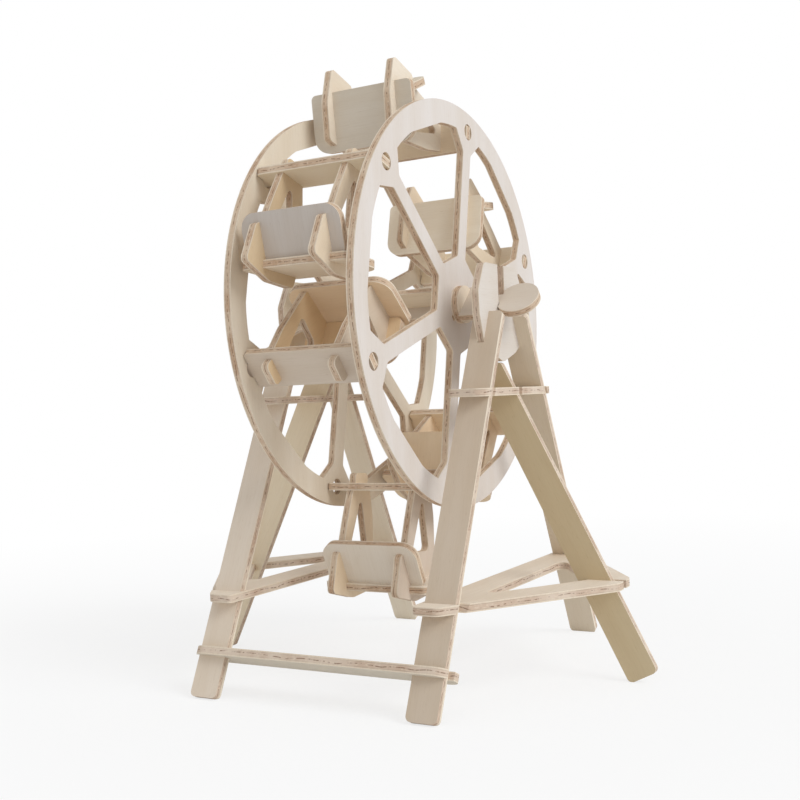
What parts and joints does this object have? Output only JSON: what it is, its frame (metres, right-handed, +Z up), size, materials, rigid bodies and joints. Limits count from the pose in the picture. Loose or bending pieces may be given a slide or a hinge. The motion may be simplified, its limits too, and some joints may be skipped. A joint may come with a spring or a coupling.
{
  "type": "crank ferris wheel toy",
  "caption": "Wooden toy ferris wheel on splayed legs: slotted plywood boards, a wheel turned by a crank disc on its axle, and tilting gondolas hinged between the rims.",
  "frame": {"origin": "on the floor, centred under the whole toy", "axes": "+Z is up, the wheel turns about an axle along Y with the crank disc on the -Y side, and the tie bar joins the legs on the -X side"},
  "size_m": [0.1645, 0.2022, 0.238],
  "materials": {
    "bearing_plate": "unpainted birch plywood, laser cut, satin",
    "leg_front": "unpainted birch plywood, laser cut, satin",
    "leg_rear": "unpainted birch plywood, laser cut, satin",
    "leg_side": "unpainted birch plywood, laser cut, satin",
    "upper_tie": "unpainted birch plywood, laser cut, satin",
    "base_plate": "unpainted birch plywood, laser cut, satin",
    "front_tie_bar": "unpainted birch plywood, laser cut, satin",
    "wheel_disc": "unpainted birch plywood, laser cut, satin",
    "axle_board": "unpainted birch plywood, laser cut, satin",
    "axle_fin": "unpainted birch plywood, laser cut, satin",
    "collar": "unpainted birch plywood, laser cut, satin",
    "gondola_crossbar": "unpainted birch plywood, laser cut, satin",
    "gondola_side_plate": "unpainted birch plywood, laser cut, satin",
    "gondola_backrest": "unpainted birch plywood, laser cut, satin",
    "gondola_seat": "unpainted birch plywood, laser cut, satin"
  },
  "bodies": {
    "stand": {"bearing_plate_near": "bearing_plate", "bearing_plate_far": "bearing_plate", "leg_front_near": "leg_front", "leg_front_far": "leg_front", "leg_rear_near": "leg_rear", "leg_rear_far": "leg_rear", "leg_side_near": "leg_side", "leg_side_far": "leg_side", "upper_tie_near": "upper_tie", "upper_tie_far": "upper_tie", "base_plate_near": "base_plate", "base_plate_far": "base_plate", "front_tie_bar": "front_tie_bar"},
    "wheel": {"wheel_disc_near": "wheel_disc", "wheel_disc_far": "wheel_disc", "axle_board": "axle_board", "axle_fin_upper": "axle_fin", "axle_fin_lower": "axle_fin", "collar_near": "collar", "collar_far": "collar"},
    "gondola_1": {"gondola_1_crossbar": "gondola_crossbar", "gondola_1_side_plate_near": "gondola_side_plate", "gondola_1_side_plate_far": "gondola_side_plate", "gondola_1_backrest": "gondola_backrest", "gondola_1_seat": "gondola_seat"},
    "gondola_2": {"gondola_2_crossbar": "gondola_crossbar", "gondola_2_side_plate_near": "gondola_side_plate", "gondola_2_side_plate_far": "gondola_side_plate", "gondola_2_backrest": "gondola_backrest", "gondola_2_seat": "gondola_seat"},
    "gondola_3": {"gondola_3_crossbar": "gondola_crossbar", "gondola_3_side_plate_near": "gondola_side_plate", "gondola_3_side_plate_far": "gondola_side_plate", "gondola_3_backrest": "gondola_backrest", "gondola_3_seat": "gondola_seat"},
    "gondola_4": {"gondola_4_crossbar": "gondola_crossbar", "gondola_4_side_plate_near": "gondola_side_plate", "gondola_4_side_plate_far": "gondola_side_plate", "gondola_4_backrest": "gondola_backrest", "gondola_4_seat": "gondola_seat"},
    "gondola_5": {"gondola_5_crossbar": "gondola_crossbar", "gondola_5_side_plate_near": "gondola_side_plate", "gondola_5_side_plate_far": "gondola_side_plate", "gondola_5_backrest": "gondola_backrest", "gondola_5_seat": "gondola_seat"},
    "gondola_6": {"gondola_6_crossbar": "gondola_crossbar", "gondola_6_side_plate_near": "gondola_side_plate", "gondola_6_side_plate_far": "gondola_side_plate", "gondola_6_backrest": "gondola_backrest", "gondola_6_seat": "gondola_seat"}
  },
  "joints": [
    {"name": "wheel_spin", "type": "hinge", "parent": "stand", "child": "wheel", "pos_m": [0.00226, 0, 0.1435], "axis": [0, -1, 0], "continuous": true},
    {"name": "gondola_1_swing", "type": "hinge", "parent": "wheel", "child": "gondola_1", "pos_m": [0.01669, 0, 0.21445], "axis": [0, -1, 0], "range_deg": [-145, 85]},
    {"name": "gondola_2_swing", "type": "hinge", "parent": "wheel", "child": "gondola_2", "pos_m": [-0.05196, 0, 0.19147], "axis": [0, -1, 0], "range_deg": [-160, 4]},
    {"name": "gondola_3_swing", "type": "hinge", "parent": "wheel", "child": "gondola_3", "pos_m": [-0.0664, 0, 0.12053], "axis": [0, -1, 0], "range_deg": [-65, 2]},
    {"name": "gondola_4_swing", "type": "hinge", "parent": "wheel", "child": "gondola_4", "pos_m": [-0.01217, 0, 0.07255], "axis": [0, -1, 0], "range_deg": [-62, 55]},
    {"name": "gondola_5_swing", "type": "hinge", "parent": "wheel", "child": "gondola_5", "pos_m": [0.07092, 0, 0.16647], "axis": [0, -1, 0], "range_deg": [-170, 170]},
    {"name": "gondola_6_swing", "type": "hinge", "parent": "wheel", "child": "gondola_6", "pos_m": [0.05648, 0, 0.09553], "axis": [0, -1, 0], "range_deg": [-75, 155]}
  ]
}
